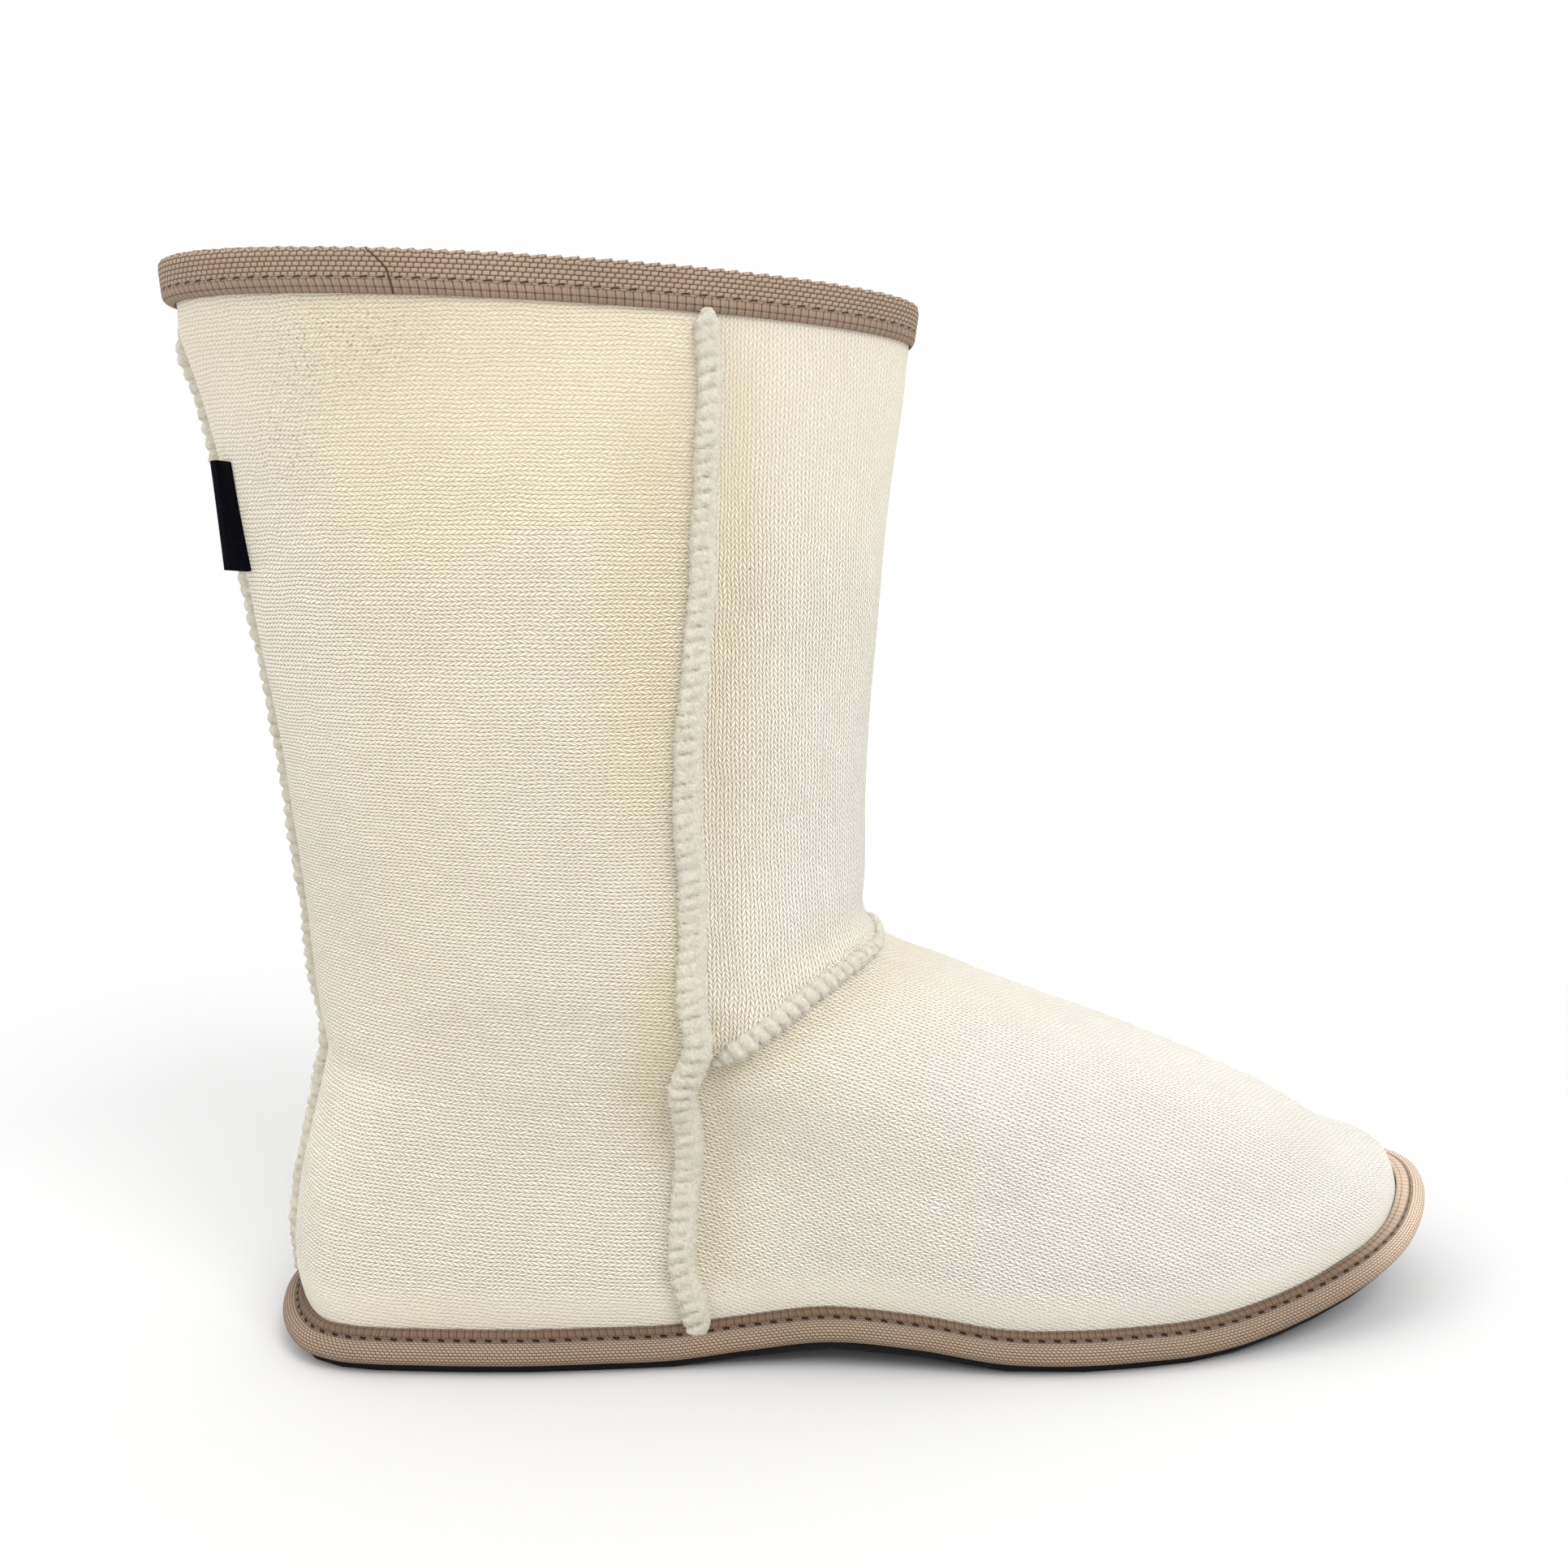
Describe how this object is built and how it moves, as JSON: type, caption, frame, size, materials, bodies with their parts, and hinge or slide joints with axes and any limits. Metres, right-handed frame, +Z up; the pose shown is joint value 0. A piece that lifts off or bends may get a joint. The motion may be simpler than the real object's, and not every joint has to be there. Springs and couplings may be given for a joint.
{
  "type": "slipper boot",
  "caption": "Pull-on mid-calf slipper boot for the right foot in cream wool knit, with raised overlocked seams, taupe tape binding at collar and sole edge, and a thin dark outsole.",
  "frame": {"origin": "on the floor, under the middle of the boot's box", "axes": "+X towards the toe, +Y towards the inner side of the foot, +Z up"},
  "size_m": [0.288, 0.0948, 0.2344],
  "materials": {
    "wool_knit": "thick felted wool knit, cream, matt and slightly hairy",
    "wool_lining": "brushed wool fleece, cream, matt",
    "wool_thread": "bulky cream wool overlock thread, matt",
    "tape": "woven twill binding tape, taupe",
    "dark_sole": "thin textured sole sheet, dark charcoal, matt",
    "tab_weave": "black satin-woven ribbon, folded"
  },
  "bodies": {
    "root": {"upper": "wool_knit", "outsole": "dark_sole", "insole": "wool_lining", "sole_binding": "tape", "collar_binding": "tape", "outer_side_seam": "wool_thread", "inner_side_seam": "wool_thread", "back_seam": "wool_thread", "instep_seam": "wool_thread", "back_tab": "tab_weave"}
  },
  "joints": []
}
